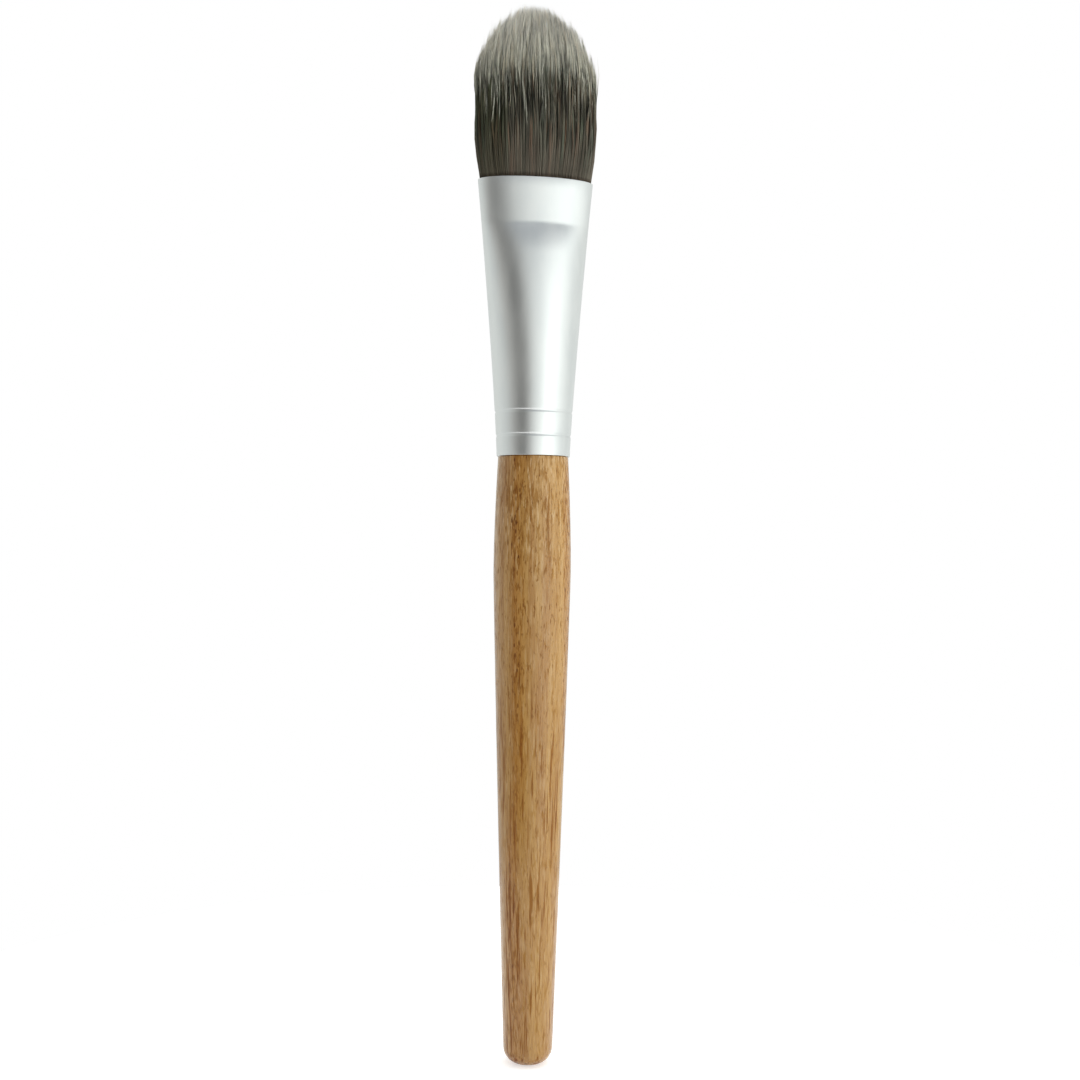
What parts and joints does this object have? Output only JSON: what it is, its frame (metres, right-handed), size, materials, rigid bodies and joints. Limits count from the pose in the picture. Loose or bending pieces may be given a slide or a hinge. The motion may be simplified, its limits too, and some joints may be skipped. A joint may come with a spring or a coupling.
{
  "type": "foundation brush",
  "caption": "Cosmetic brush with a turned wooden handle, a crimped round-to-flat aluminium ferrule and a flattened, domed tuft of light-tipped filaments.",
  "frame": {"origin": "middle of the grip, on the brush's axis where the handle is thickest, 83.3 mm above its butt end", "axes": "+Z along the brush towards the tuft, broad faces towards -Y and +Y, +X across the width"},
  "size_m": [0.0215, 0.0138, 0.1802],
  "materials": {
    "wood": "oiled open-pored hardwood, satin",
    "aluminium": "satin anodised",
    "filament": "dyed synthetic filament, dark with light tips",
    "resin": "cured clear amber resin",
    "glue": "cured glue"
  },
  "bodies": {
    "root": {"handle": "wood", "ferrule": "aluminium", "filament_tuft": "filament", "resin_plug": "resin", "adhesive_ring": "glue"}
  },
  "joints": []
}
